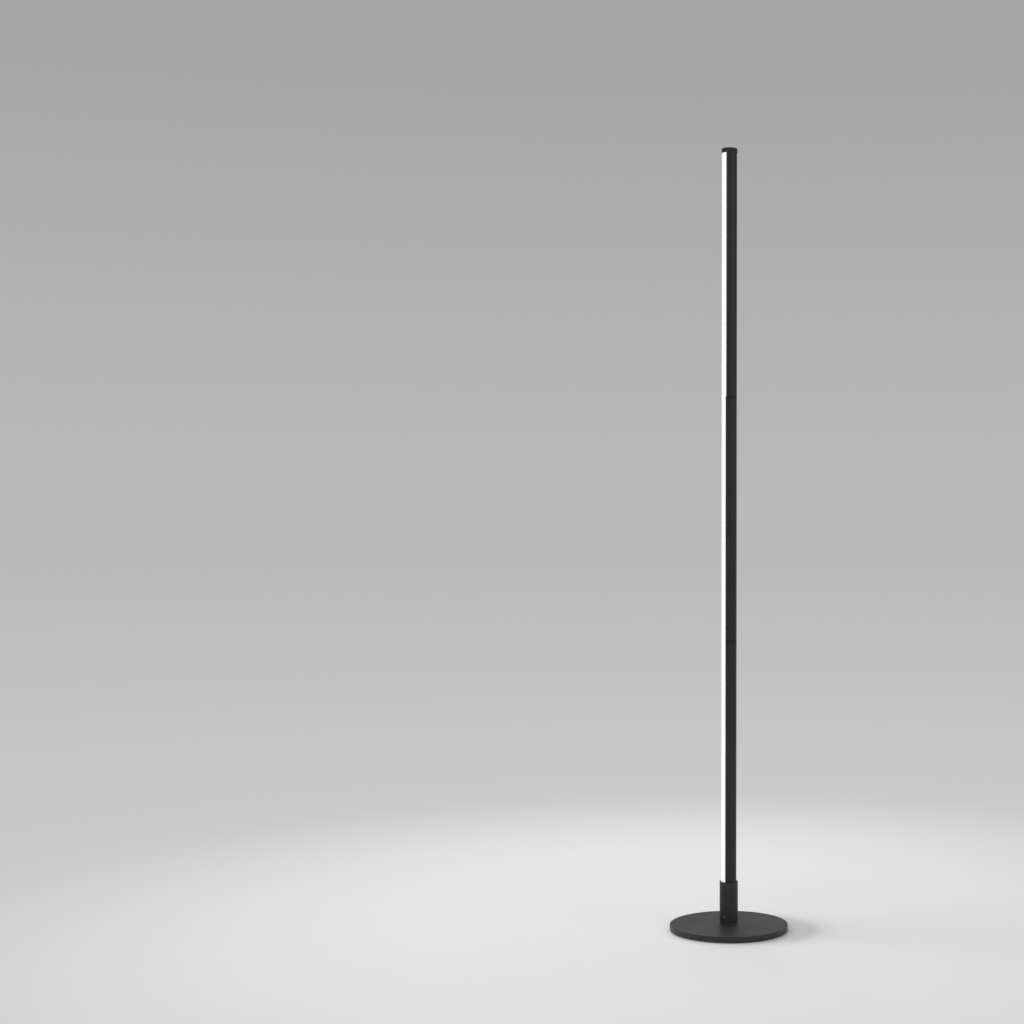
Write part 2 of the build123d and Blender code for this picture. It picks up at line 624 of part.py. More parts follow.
    with BuildPart() as contact_socket:
        with BuildSketch(section_plane(section, SLEEVE_TOP)):
            Circle(CONTACT_SOCKET_RADIUS)
            Circle(CONTACT_RADIUS + FIT, mode=Mode.SUBTRACT)
        extrude(amount=CONTACT_SOCKET_TOP - SLEEVE_TOP)
    save(contact_socket, f"{section}_contact_socket")

    # Spigot plug at the head, which carries the next section
    head = section_plane(section, SECTION_LENGTH - HALF_GAP)
    if not is_top:
        with BuildPart() as spigot_plug:
            with BuildSketch(head):
                d_outline()
            extrude(amount=-FLANGE)
            with BuildSketch(head.offset(-FLANGE)):
                insert_outline()
            extrude(amount=-SPIGOT_PLUG_INSERT)
            spigot_seat(head)
            screw_holes(head, FLANGE)
        save(spigot_plug, f"{section}_spigot_plug")
        build_spigot(section, head)

    # Screws that hold the plugs to the pole
    with BuildPart() as plug_screws:
        screws([foot_from_below] if is_top else [foot_from_below, head])
    save(plug_screws, f"{section}_plug_screws")

    # Leads in the rear chamber: the feed to the strip, and the pair that runs on to the next section
    with BuildPart() as leads:
        for side in (-FEED_SIDE, FEED_SIDE):
            route = Plane(
                origin=section_plane(section, 0).from_local_coords((0, side, 0)),
                x_dir=-feed.x_dir,
                z_dir=feed.y_dir,
            )
            with BuildLine(route) as feed_lead:
                FilletPolyline(
                    (FEED_BACK, SOCKET_PLUG_TOP),
                    (FEED_BACK, FEED_HEIGHT),
                    (FLAT_FRONT, FEED_HEIGHT),
                    radius=FEED_BEND,
                )
            with BuildSketch(Plane(feed_lead.line @ 0, z_dir=feed_lead.line % 0)):
                Circle(FEED_RADIUS)
            sweep(path=feed_lead.line)
        if not is_top:
            with BuildSketch(section_plane(section, SOCKET_PLUG_TOP)):
                with Locations(*THROUGH_LEADS):
                    Circle(LEAD_RADIUS)
            extrude(amount=SECTION_LENGTH - HALF_GAP - FLANGE - SPIGOT_PLUG_INSERT - SOCKET_PLUG_TOP)
    save(leads, f"{section}_leads")

# Top cap: moulded disc a little wider than the pole, with an insert in the rear chamber
cap_top = section_plane(TOP_SECTION, SECTION_LENGTH + CAP_HEIGHT)
with BuildPart() as top_cap:
    with BuildSketch(cap_top):
        Circle(CAP_RADIUS)
    extrude(amount=-CAP_HEIGHT)
    fillet(top_cap.edges().group_by(Axis.Z)[-1], radius=CAP_ROUND)
    chamfer(top_cap.edges().group_by(Axis.Z)[0], length=CAP_CHAMFER)
    with BuildSketch(cap_top.offset(-CAP_HEIGHT)):
        insert_outline()
    extrude(amount=-CAP_INSERT)
    screw_holes(cap_top, CAP_HEIGHT)
save(top_cap, "top_cap")

with BuildPart() as cap_screws:
    screws([cap_top])
save(cap_screws, "cap_screws")
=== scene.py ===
from math import acos, atan2, cos, pi, radians, sin, tan

import bmesh
import bpy
from mathutils import Matrix, Vector


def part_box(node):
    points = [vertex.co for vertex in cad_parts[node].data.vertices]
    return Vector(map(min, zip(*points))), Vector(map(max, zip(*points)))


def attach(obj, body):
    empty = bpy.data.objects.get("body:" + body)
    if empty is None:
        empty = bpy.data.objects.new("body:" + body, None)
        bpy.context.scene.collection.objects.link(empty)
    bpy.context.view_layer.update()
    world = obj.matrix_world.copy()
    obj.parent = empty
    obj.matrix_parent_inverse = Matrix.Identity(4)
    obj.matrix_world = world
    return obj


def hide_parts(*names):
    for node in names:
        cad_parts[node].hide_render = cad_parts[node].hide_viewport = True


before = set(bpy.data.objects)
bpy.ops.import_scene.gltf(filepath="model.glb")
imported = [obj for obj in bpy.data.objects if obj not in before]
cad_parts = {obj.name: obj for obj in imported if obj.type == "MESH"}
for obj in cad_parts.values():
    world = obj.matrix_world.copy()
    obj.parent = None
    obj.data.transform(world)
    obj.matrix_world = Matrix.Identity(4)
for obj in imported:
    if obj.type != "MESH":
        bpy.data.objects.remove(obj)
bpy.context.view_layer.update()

# Camera: at half the lamp's height, a little to its lit side and turned straight at it, so that the
# white band shows narrow. The frame is shifted, so that the pole stands right of its middle.
IMAGE_PIXELS = 1024
FOCAL_PIXELS = 1774.9
SENSOR_WIDTH = 36.0
CAMERA_PLACE = Vector((-0.1943, -3.1767, 0.728))
POLE_COLUMN = 729.15
HORIZON_ROW = 523.1
CAMERA_ROLL = -0.0011
camera_data = bpy.data.cameras.new("camera")
camera_data.sensor_width = SENSOR_WIDTH
camera_data.lens = SENSOR_WIDTH * FOCAL_PIXELS / IMAGE_PIXELS
camera_data.shift_x = 0.5 - POLE_COLUMN / IMAGE_PIXELS
camera = bpy.data.objects.new("camera", camera_data)
camera.location = CAMERA_PLACE
pitch = atan2(HORIZON_ROW - IMAGE_PIXELS / 2, FOCAL_PIXELS)
yaw = atan2(CAMERA_PLACE.x, -CAMERA_PLACE.y)
camera.rotation_euler = (pi / 2 + pitch, CAMERA_ROLL, yaw)
bpy.context.scene.collection.objects.link(camera)
bpy.context.scene.camera = camera
bpy.context.scene.view_settings.view_transform = "Standard"

# Base pad: a disc of closed-cell rubber, die-cut with a hole for the bolt and glued into a
# shallow recess under the steel disc, so that it stands proud and leaves a shadow gap.
MM = 0.001
SHARP_ANGLE = radians(30)
PAD_EDGE = 0.5 * MM
PAD_HOLE = 12 * MM
PAD_COLOUR = (0.022, 0.022, 0.023, 1)
PAD_WORN = (0.05, 0.05, 0.05, 1)


def rounded(corners, steps=5):
    """Joins corners (x, y, radius) into a closed outline: each corner an arc with a short flat beside it."""
    points = []
    for i, (x, y, radius) in enumerate(corners):
        corner = Vector((x, y))
        if not radius:
            points.append((x, y))
            continue
        back = (Vector(corners[i - 1][:2]) - corner).normalized()
        on = (Vector(corners[(i + 1) % len(corners)][:2]) - corner).normalized()
        half = back.angle(on) / 2
        reach = radius / tan(half)
        centre = corner + (back + on).normalized() * radius / sin(half)
        first = corner + back * reach - centre
        last = corner + on * reach - centre
        sweep = pi - 2 * half
        flat = 0.1 * radius
        points.append(tuple(corner + back * (reach + flat)))
        for k in range(steps + 1):
            t = k / steps
            points.append(tuple(centre + (first * sin((1 - t) * sweep) + last * sin(t * sweep)) / sin(sweep)))
        points.append(tuple(corner + on * (reach + flat)))
    return points


def settle(name, shape):
    """Turns a worked shape into an object with clean normals, smooth but for its sharp edges."""
    bmesh.ops.recalc_face_normals(shape, faces=shape.faces)
    mesh = bpy.data.meshes.new(name)
    shape.to_mesh(mesh)
    shape.free()
    mesh.shade_smooth()
    mesh.set_sharp_from_angle(angle=SHARP_ANGLE)
    piece = bpy.data.objects.new(name, mesh)
    bpy.context.scene.collection.objects.link(piece)
    return piece


def spin(name, outline, sides=160):
    """Turns a closed outline of (radius, height) points about Z. A third value counts a ring's flats."""
    shape = bmesh.new()
    rings = []
    for radius, height, *flats in outline:
        ring = []
        for k in range(sides if radius else 1):
            angle = 2 * pi * k / sides
            reach = radius
            if flats:
                facet = 2 * pi / flats[0]
                reach = radius / cos((angle + facet / 2) % facet - facet / 2)
            ring.append(shape.verts.new((reach * cos(angle), reach * sin(angle), height)))
        rings.append(ring)
    for ring, following in zip(rings, rings[1:] + rings[:1]):
        if len(ring) == len(following) == 1:
            continue
        for k in range(sides):
            corners = (
                ring[k % len(ring)],
                following[k % len(following)],
                following[(k + 1) % sides % len(following)],
                ring[(k + 1) % sides % len(ring)],
            )
            shape.faces.new(list(dict.fromkeys(corners)))
    return settle(name, shape)


class Wire:
    """An output socket in a material. Sums on it add Math nodes, and node() adds any other node."""

    def __init__(self, socket):
        self.socket = socket

    def node(self, kind, settings, sockets, output=0):
        """Adds a node: first its settings, then the values or wires of its sockets. Returns one output."""
        made = self.socket.id_data.nodes.new("ShaderNode" + kind)
        for key, value in settings.items():
            setattr(made, key, value)
        feed(made, sockets)
        found = [s for s in made.outputs if output in (s.identifier, s.name)]
        return Wire(found[0] if found else made.outputs[output])

    def sum(self, operation, first, second):
        return self.node("Math", {"operation": operation}, {0: first, 1: second})

    def __add__(self, other):
        return self.sum("ADD", self, other)

    __radd__ = __add__

    def __sub__(self, other):
        return self.sum("SUBTRACT", self, other)

    def __mul__(self, other):
        return self.sum("MULTIPLY", self, other)

    __rmul__ = __mul__

    def __truediv__(self, other):
        return self.sum("DIVIDE", self, other)

    def __pow__(self, other):
        return self.sum("POWER", self, other)


def feed(node, sockets):
    """Gives a node's sockets their values, or links the wires that drive them."""
    for key, value in sockets.items():
        if isinstance(key, int):
            target = node.inputs[key]
        else:
            target = next(s for s in node.inputs if key in (s.identifier, s.name))
        if isinstance(value, Wire):
            node.id_data.links.new(value.socket, target)
        else:
            target.default_value = value


def new_finish(name):
    """Starts a finish: its material, its shader, and the place on the piece, in metres, that drives it."""
    material = bpy.data.materials.new(name)
    material.use_nodes = True
    shader = material.node_tree.nodes["Principled BSDF"]
    place = Wire(material.node_tree.nodes.new("ShaderNodeTexCoord").outputs["Object"])
    return material, shader, place


def noise(place, scale, detail=2.0):
    """Soft mottling, about 1 / scale metres across."""
    return place.node("TexNoise", {}, {"Vector": place, "Scale": scale, "Detail": detail})


def stretched(place, factors):
    """The same place with its axes stretched or squeezed, for drawn and turned grain."""
    return place.node("VectorMath", {"operation": "MULTIPLY"}, {0: place, 1: factors})


def ramp(value, low, high):
    """Zero below low, one above high, smooth between."""
    settings = {"interpolation_type": "SMOOTHSTEP"}
    return value.node("MapRange", settings, {"Value": value, "From Min": low, "From Max": high})


def tint(mask, first, second):
    """A colour that goes from first to second as the mask goes from nothing to one."""
    sockets = {"Factor_Float": mask, "A_Color": first, "B_Color": second}
    return mask.node("Mix", {"data_type": "RGBA"}, sockets, "Result_Color")


def relief(height, depth, strength=1.0):
    """Fine relief: a height from nothing to one stands for a depth in metres."""
    return height.node("Bump", {}, {"Height": height, "Distance": depth, "Strength": strength})


def place_on(piece, body, slot, *nodes):
    """Says which body a piece moves with and which plain solids it stands for. The slot argument is not used.
    """
    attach(piece, body)
    if nodes:
        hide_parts(*nodes)


def dress(material, *pieces):
    """Gives pieces one finish."""
    for piece in pieces:
        piece.data.materials.clear()
        piece.data.materials.append(material)


def rubber(name):
    material, shader, place = new_finish(name)
    cells = place.node("TexVoronoi", {"feature": "F1"}, {"Vector": place, "Scale": 1400.0}, "Distance")
    scuffs = ramp(noise(place, 60.0, 4.0), 0.5, 0.75)
    feed(shader, {
        "Base Color": tint(scuffs, PAD_COLOUR, PAD_WORN),
        "Roughness": 0.78 + 0.16 * scuffs,
        "Normal": relief(cells, 0.05 * MM),
        "Specular IOR Level": 0.35,
    })
    return material


pad_low, pad_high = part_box("base_pad")
base_pad = spin("rubber_pad", rounded([
    (PAD_HOLE, pad_low.z, PAD_EDGE),
    (pad_high.x, pad_low.z, PAD_EDGE),
    (pad_high.x, pad_high.z, 0),
    (PAD_HOLE, pad_high.z, 0),
]))
dress(rubber("closed_cell_rubber"), base_pad)
place_on(base_pad, "stand", "pad_rubber", "base_pad")

# Base plate: a heavy steel disc, laser-cut, its upper rim rounded and its lower rim chamfered,
# then powder-coated in satin black. The coat has a faint orange peel and rubs thin along the rim.
PLATE_ROUND = 0.5 * MM
PLATE_CHAMFER = 0.6 * MM
PLATE_SOFT = 0.2 * MM
PAD_ROOM = 0.2 * MM
BOLT_HOLE = 4.3 * MM
BOLT_COUNTERBORE = 7.8 * MM
COAT_COLOUR = (0.0065, 0.0065, 0.0068, 1)
COAT_DUSTY = (0.012, 0.012, 0.0125, 1)
COAT_RUBBED = (0.025, 0.025, 0.026, 1)


def powder_coat(name, rim):
    """Satin powder coat with orange peel, a trace of dust on top and a rubbed line at the rim radius."""
    material, shader, place = new_finish(name)
    peel = noise(place, 520.0, 3.0)
    grit = noise(place, 2600.0, 2.0)
    dust = ramp(noise(place, 26.0, 5.0), 0.42, 0.72)
    flat_place = stretched(place, (1, 1, 0))
    radius = place.node("VectorMath", {"operation": "LENGTH"}, {0: flat_place}, "Value")
    edge = ramp(radius, rim - 1.6 * MM, rim) * ramp(noise(place, 140.0, 4.0), 0.45, 0.7)
    coat = tint(dust * 0.6, COAT_COLOUR, COAT_DUSTY)
    feed(shader, {
        "Base Color": tint(edge * 0.5, coat, COAT_RUBBED),
        "Roughness": 0.43 + 0.08 * peel + 0.07 * dust - 0.05 * edge,
        "Normal": relief(0.7 * peel + 0.3 * grit, 0.03 * MM),
        "Specular IOR Level": 0.58,
        "Sheen Weight": 0.105,
    })
    return material


plate_low, plate_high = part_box("base_plate")
bolt_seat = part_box("base_washer")[1].z
base_plate = spin("base_disc", rounded([
    (BOLT_HOLE, bolt_seat, 0),
    (BOLT_COUNTERBORE, bolt_seat, 0),
    (BOLT_COUNTERBORE, pad_high.z, 0),
    (pad_high.x + PAD_ROOM, pad_high.z, 0),
    (pad_high.x + PAD_ROOM, plate_low.z, PLATE_SOFT),
    (plate_high.x - PLATE_CHAMFER, plate_low.z, PLATE_SOFT),
    (plate_high.x, plate_low.z + PLATE_CHAMFER, PLATE_SOFT),
    (plate_high.x, plate_high.z, PLATE_ROUND),
    (BOLT_HOLE, plate_high.z, 0),
]), sides=256)
dress(powder_coat("satin_powder_coat", plate_high.x), base_plate)
place_on(base_plate, "stand", "base_paint", "base_plate")

# Base bolt and washer: a zinc-plated hexagon socket bolt with a low head, tightened from below
# through the pad's hole, and the plain washer under its head.
STEEL_COLOUR = (0.56, 0.56, 0.57, 1)
STEEL_DULL = (0.4, 0.4, 0.42, 1)
BOLT_SOCKET_FLATS = 5 * MM
BOLT_SOCKET_DEPTH = 2.4 * MM
BOLT_SOCKET_RIM = 0.6 * MM
BOLT_SOCKET_LEAD = 0.2 * MM
BOLT_SOCKET_POINT = 0.5 * MM
BOLT_SHANK = 3.95 * MM
BOLT_TIP = 0.5 * MM
BOLT_HEAD_EDGES = (0.3 * MM, 0.6 * MM)
HEX = 6


def bare_metal(name, bright, dull, roughness, grain):
    """Bare or plated metal: machining grain along one axis, and patches where it has dulled."""
    material, shader, place = new_finish(name)
    lines = noise(stretched(place, grain), 1.0, 3.0)
    patches = ramp(noise(place, 180.0, 3.0), 0.4, 0.7)
    feed(shader, {
        "Base Color": tint(patches, bright, dull),
        "Roughness": roughness + 0.12 * lines + 0.1 * patches,
        "Normal": relief(lines, 0.008 * MM),
        "Metallic": 1.0,
    })
    return material


plated_steel = bare_metal("plated_steel", STEEL_COLOUR, STEEL_DULL, 0.26, (300, 300, 9000))
head_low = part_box("base_bolt")[0].z
head_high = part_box("base_washer")[0].z
shank_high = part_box("base_bolt")[1].z
head_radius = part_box("base_bolt")[1].x
base_bolt = spin("base_socket_bolt", rounded([
    (0, shank_high, 0),
    (BOLT_SHANK, shank_high, BOLT_TIP),
    (BOLT_SHANK, head_high, 0),
    (head_radius, head_high, BOLT_HEAD_EDGES[0]),
    (head_radius, head_low, BOLT_HEAD_EDGES[1]),
    (BOLT_SOCKET_FLATS / 2 + BOLT_SOCKET_RIM, head_low, 0),
]) + [
    (BOLT_SOCKET_FLATS / 2, head_low + BOLT_SOCKET_LEAD, HEX),
    (BOLT_SOCKET_FLATS / 2, head_low + BOLT_SOCKET_DEPTH, HEX),
    (0, head_low + BOLT_SOCKET_DEPTH + BOLT_SOCKET_POINT),
], sides=96)
dress(plated_steel, base_bolt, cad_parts["base_washer"])
place_on(base_bolt, "stand", "steel", "base_bolt")

# Foot ring and collar: turned from aluminium bar and black anodised. The ring lies between the disc
# and the collar, and a shadow groove parts them. The collar is drilled for screw, button and inlet.
COLLAR_SOFT = 0.25 * MM
COLLAR_LIP = 0.4 * MM
GROOVE_RADIUS = 15.6 * MM
GROOVE_HEIGHT = 2.5 * MM
GROOVE_SOFT = 0.2 * MM
COLLAR_BORE = 14 * MM
COLLAR_FLOOR = 20.5 * MM
COLLAR_THREAD = 4 * MM
RING_CHAMFER = 1 * MM
GRUB_HOLE = 2 * MM
BUTTON_HOLE = 3.1 * MM
HOLE_FLARE = 0.12 * MM
WALL_INSIDE = 10 * MM
INLET_HOLE = 4.05 * MM
INLET_SPOT_RADIUS = 5.5 * MM
INLET_SPOT = 14.9 * MM
INLET_CLEAR = 18 * MM
# The foot ring is the collar's black anodising painted paler: a painted highlight for the light its chamfer
# catches.
RING_PAINTED_LIGHT_COLOUR = (0.044, 0.044, 0.045, 1)
RING_PAINTED_LIGHT_GREY = (0.06, 0.06, 0.061, 1)
COLLAR_COLOUR = (0.029, 0.029, 0.03, 1)
COLLAR_GREY = (0.041, 0.041, 0.042, 1)


def anodised(name, colour, grey, grain, roughness):
    """Black anodised aluminium: cutting or drawing lines along the grain, and a slow drift in the black."""
    material, shader, place = new_finish(name)
    lines = noise(stretched(place, grain), 1.0, 4.0)
    drift = ramp(noise(place, 18.0, 3.0), 0.35, 0.7)
    matt = noise(place, 3200.0, 1.0)
    feed(shader, {
        "Base Color": tint(0.45 * drift + 0.4 * lines, colour, grey),
        "Roughness": roughness + 0.12 * lines + 0.05 * drift,
        "Normal": relief(0.65 * lines + 0.35 * matt, 0.012 * MM),
        "Specular IOR Level": 0.28,
    })
    return material


def bearing(node):
    """The direction, seen from above, in which a small piece lies from the lamp's axis."""
    low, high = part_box(node)
    middle = (low + high) / 2
    return atan2(middle.y, middle.x)


def aim(piece, azimuth, height):
    """Lays a turned piece on its side: its axis points outward along an azimuth, at a height."""
    out = Vector((cos(azimuth), sin(azimuth), 0))
    side = Vector((-out.y, out.x, 0))
    turn = Matrix((side, Vector((0, 0, 1)), out)).transposed().to_4x4()
    piece.data.transform(Matrix.Translation((0, 0, height)) @ turn)
    return piece


def middle_height(node):
    """The height of a small piece's middle."""
    low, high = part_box(node)
    return (low.z + high.z) / 2


def cut_away(piece, *cutters):
    """Takes the cutters' shapes out of a piece, as a drill or a countersink does."""
    for cutter in cutters:
        step = piece.modifiers.new("cut", "BOOLEAN")
        step.operation = "DIFFERENCE"
        step.solver = "EXACT"
        step.object = cutter
    worked = piece.evaluated_get(bpy.context.evaluated_depsgraph_get())
    mesh = bpy.data.meshes.new_from_object(worked)
    piece.modifiers.clear()
    mesh.name = piece.data.name
    piece.data = mesh
    mesh.shade_smooth()
    mesh.set_sharp_from_angle(angle=SHARP_ANGLE)
    for cutter in cutters:
        bpy.data.objects.remove(cutter)


turned_grain = (30, 30, 4200)
ring_low, ring_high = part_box("foot_ring")
foot_ring = spin("foot_ring_turned", rounded([
    (BOLT_HOLE, ring_low.z, 0),
    (ring_high.x, ring_low.z, COLLAR_SOFT),
    (ring_high.x, ring_high.z - RING_CHAMFER, COLLAR_SOFT),
    (ring_high.x - RING_CHAMFER, ring_high.z, COLLAR_SOFT),
    (BOLT_HOLE, ring_high.z, 0),
]))
# The ring's paler black is a painted highlight for the light on its chamfer.
dress(anodised("ring_anodised_painted_lighter", RING_PAINTED_LIGHT_COLOUR, RING_PAINTED_LIGHT_GREY, turned_grain, 0.34), foot_ring)
place_on(foot_ring, "stand", "collar_black", "foot_ring")

collar_low, collar_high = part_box("collar")
groove_top = collar_low.z + GROOVE_HEIGHT
collar = spin("collar_turned", rounded([
    (COLLAR_THREAD, collar_low.z, 0),
    (GROOVE_RADIUS, collar_low.z, 0),
    (GROOVE_RADIUS, groove_top, GROOVE_SOFT),
    (collar_high.x, groove_top, COLLAR_LIP),
    (collar_high.x, collar_high.z, COLLAR_LIP),
    (COLLAR_BORE, collar_high.z, COLLAR_SOFT),
    (COLLAR_BORE, COLLAR_FLOOR, 0),
    (COLLAR_THREAD, COLLAR_FLOOR, 0),
]))


def drill(name, radius, start, surface, flare):
    """A drill with a small countersink where it leaves the collar's surface."""
    return spin(name, [
        (0, start),
        (radius, start),
        (radius, surface - flare),
        (radius + 3 * flare, surface + 2 * flare),
        (0, surface + 2 * flare),
    ], sides=64)


control = bearing("switch_button")
inlet = bearing("dc_jack")
grub_height = middle_height("grub_screw")
button_height = middle_height("switch_button")
inlet_height = middle_height("dc_jack")
inlet_spot = spin("inlet_spotface", [
    (0, WALL_INSIDE),
    (INLET_HOLE, WALL_INSIDE),
    (INLET_HOLE, INLET_SPOT),
    (INLET_SPOT_RADIUS, INLET_SPOT),
    (INLET_SPOT_RADIUS, INLET_CLEAR),
    (0, INLET_CLEAR),
], sides=96)
cut_away(
    collar,
    aim(drill("grub_drill", GRUB_HOLE, WALL_INSIDE, collar_high.x, HOLE_FLARE), control, grub_height),
    aim(drill("button_drill", BUTTON_HOLE, WALL_INSIDE, collar_high.x, HOLE_FLARE), control, button_height),
    aim(inlet_spot, inlet, inlet_height),
)
dress(anodised("turned_black_anodised", COLLAR_COLOUR, COLLAR_GREY, turned_grain, 0.36), collar)
place_on(collar, "stand", "collar_black", "collar")

# Push button: moulded in dark grey with a shallow dish for the fingertip. A flange inside the wall keeps
# it in, and its hub pushes the nylon plunger of the switch on the board behind.
MOULDED_COLOUR = (0.012, 0.012, 0.013, 1)
MOULDED_PALE = (0.021, 0.021, 0.022, 1)
BUTTON_COLOUR = (0.07, 0.07, 0.071, 1)
BUTTON_PALE = (0.12, 0.12, 0.121, 1)
NYLON_COLOUR = (0.72, 0.7, 0.62, 1)
NYLON_PALE = (0.8, 0.79, 0.74, 1)
BUTTON_BACK = 11.5 * MM
BUTTON_HUB = 2.2 * MM
BUTTON_FLANGE_RADIUS = 3.8 * MM
BUTTON_FLANGE = (12.2 * MM, 13 * MM)
BUTTON_RADIUS = 3 * MM
BUTTON_FACE = 17.2 * MM
BUTTON_ROUND = 0.4 * MM
DISH_RADIUS = 2 * MM
DISH_ROUND = 0.3 * MM
DISH_DEPTHS = (0.1 * MM, 0.35 * MM)


def moulded(name, colour, pale, roughness, texture):
    """Moulded plastic with a spark-eroded texture, a little paler where hands have polished it."""
    material, shader, place = new_finish(name)
    spark = noise(place, texture, 3.0)
    handled = ramp(noise(place, 45.0, 4.0), 0.45, 0.75)
    feed(shader, {
        "Base Color": tint(0.5 * handled + 0.3 * spark, colour, pale),
        "Roughness": roughness + 0.14 * spark - 0.06 * handled,
        "Normal": relief(spark, 0.03 * MM),
        "Specular IOR Level": 0.32,
    })
    return material


button_grey = moulded("button_moulding", BUTTON_COLOUR, BUTTON_PALE, 0.3, 2400.0)
button = spin("push_button", rounded([
    (0, BUTTON_BACK, 0),
    (BUTTON_HUB, BUTTON_BACK, 0),
    (BUTTON_HUB, BUTTON_FLANGE[0], 0),
    (BUTTON_FLANGE_RADIUS, BUTTON_FLANGE[0], 0),
    (BUTTON_FLANGE_RADIUS, BUTTON_FLANGE[1], 0),
    (BUTTON_RADIUS, BUTTON_FLANGE[1], 0),
    (BUTTON_RADIUS, BUTTON_FACE, BUTTON_ROUND),
    (DISH_RADIUS, BUTTON_FACE - DISH_DEPTHS[0], DISH_ROUND),
    (0, BUTTON_FACE - DISH_DEPTHS[1], 0),
]), sides=96)
aim(button, control, button_height)
dress(button_grey, button)
place_on(button, "switch_button", "moulded_black", "switch_button")
natural_nylon = moulded("natural_nylon", NYLON_COLOUR, NYLON_PALE, 0.42, 900.0)
dress(natural_nylon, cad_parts["switch_plunger"])

# Control board: green glass laminate, upright in the collar and gripped by the carrier's ribs, with
# the switch, the driver and its coil soldered on, and insulated leads to the inlet and the contacts.
BOARD_GREEN = (0.012, 0.07, 0.03, 1)
BOARD_TRACK = (0.03, 0.13, 0.055, 1)
RESIN_COLOUR = (0.018, 0.018, 0.02, 1)
RESIN_PALE = (0.04, 0.04, 0.043, 1)
LEAD_COLOUR = (0.025, 0.025, 0.026, 1)
LEAD_PALE = (0.045, 0.045, 0.046, 1)


def laminate(name, mask_colour, track_colour, roughness):
    """Circuit board: solder mask with raised tracks under it."""
    material, shader, place = new_finish(name)
    squares = place.node("TexVoronoi", {"feature": "F1", "distance": "CHEBYCHEV"},
                         {"Vector": place, "Scale": 330.0}, "Distance")
    tracks = ramp(squares, 0.3, 0.36)
    feed(shader, {
        "Base Color": tint(tracks, mask_colour, track_colour),
        "Roughness": roughness + 0.1 * noise(place, 800.0),
        "Normal": relief(tracks, 0.04 * MM),
    })
    return material


dress(laminate("green_laminate", BOARD_GREEN, BOARD_TRACK, 0.3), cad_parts["control_board"])
dress(moulded("component_resin", RESIN_COLOUR, RESIN_PALE, 0.45, 1500.0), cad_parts["board_components"])
black_moulding = moulded("black_moulding", MOULDED_COLOUR, MOULDED_PALE, 0.46, 1900.0)
dress(black_moulding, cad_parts["switch_body"])
lead_jacket = moulded("lead_jacket", LEAD_COLOUR, LEAD_PALE, 0.5, 700.0)
dress(lead_jacket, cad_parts["power_leads"])

# Power inlet: a moulded socket with a flanged face, let into a spotface at the back of the collar,
# with a brass centre contact and a nickel-plated nut inside.
BRASS_COLOUR = (0.78, 0.55, 0.22, 1)
BRASS_DULL = (0.55, 0.36, 0.14, 1)
NICKEL_COLOUR = (0.66, 0.64, 0.6, 1)
NICKEL_DULL = (0.5, 0.48, 0.45, 1)
INLET_BACK = 3.9 * MM
INLET_BARREL = 4 * MM
INLET_BEZEL = 5.3 * MM
INLET_FACE = 16.5 * MM
INLET_BORE = 2.75 * MM
INLET_BORE_END = 7 * MM
INLET_PIN_HOLE = 1 * MM
INLET_EDGES = (0.3 * MM, 0.4 * MM, 0.25 * MM)
inlet_socket = spin("power_inlet", rounded([
    (INLET_PIN_HOLE, INLET_BACK, 0),
    (INLET_BARREL, INLET_BACK, INLET_EDGES[0]),
    (INLET_BARREL, INLET_SPOT, 0),
    (INLET_BEZEL, INLET_SPOT, 0),
    (INLET_BEZEL, INLET_FACE, INLET_EDGES[1]),
    (INLET_BORE, INLET_FACE, INLET_EDGES[2]),
    (INLET_BORE, INLET_BORE_END, 0),
    (INLET_PIN_HOLE, INLET_BORE_END, 0),
]), sides=96)
aim(inlet_socket, inlet, inlet_height)
dress(black_moulding, inlet_socket)
place_on(inlet_socket, "stand", "moulded_black", "dc_jack")
bare_brass = bare_metal("bare_brass", BRASS_COLOUR, BRASS_DULL, 0.24, (400, 400, 7000))
dress(bare_brass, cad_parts["dc_jack_contact"])
nickel_plate = bare_metal("nickel_plate", NICKEL_COLOUR, NICKEL_DULL, 0.18, (900, 900, 900))
dress(nickel_plate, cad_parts["dc_jack_nut"])

# Spigot carrier and grub screw: a moulded plug closes the collar's mouth and holds the first spigot.
# The black grub screw goes in through the collar's wall and locks it.
OXIDE_COLOUR = (0.055, 0.055, 0.056, 1)
OXIDE_WORN = (0.1, 0.1, 0.102, 1)
GRUB_RADIUS = 1.95 * MM
GRUB_TIP = 10.5 * MM
GRUB_HEAD = 15.8 * MM
GRUB_RIM = 1.35 * MM
GRUB_SOCKET = 2 * MM
GRUB_SOCKET_DEPTH = 2.2 * MM
GRUB_EDGE = 0.3 * MM
black_oxide = bare_metal("black_oxide", OXIDE_COLOUR, OXIDE_WORN, 0.36, (1200, 1200, 1200))


def socket_screw(name, outline, flats, face, depth):
    """A turned screw whose outline ends at its face, with a hexagon socket sunk into that face."""
    return spin(name, outline + [
        (flats / 2, face, HEX),
        (flats / 2, face - depth, HEX),
        (0, face - depth - flats / 8),
    ], sides=96)


grub = socket_screw("collar_grub_screw", rounded([
    (0, GRUB_TIP, 0),
    (GRUB_RADIUS, GRUB_TIP, GRUB_EDGE),
    (GRUB_RADIUS, GRUB_HEAD, GRUB_EDGE),
    (GRUB_RIM, GRUB_HEAD, 0),
]), GRUB_SOCKET, GRUB_HEAD, GRUB_SOCKET_DEPTH)
aim(grub, control, grub_height)
dress(black_oxide, grub)
place_on(grub, "stand", "screw_black", "grub_screw")
dress(black_moulding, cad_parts["spigot_carrier"])

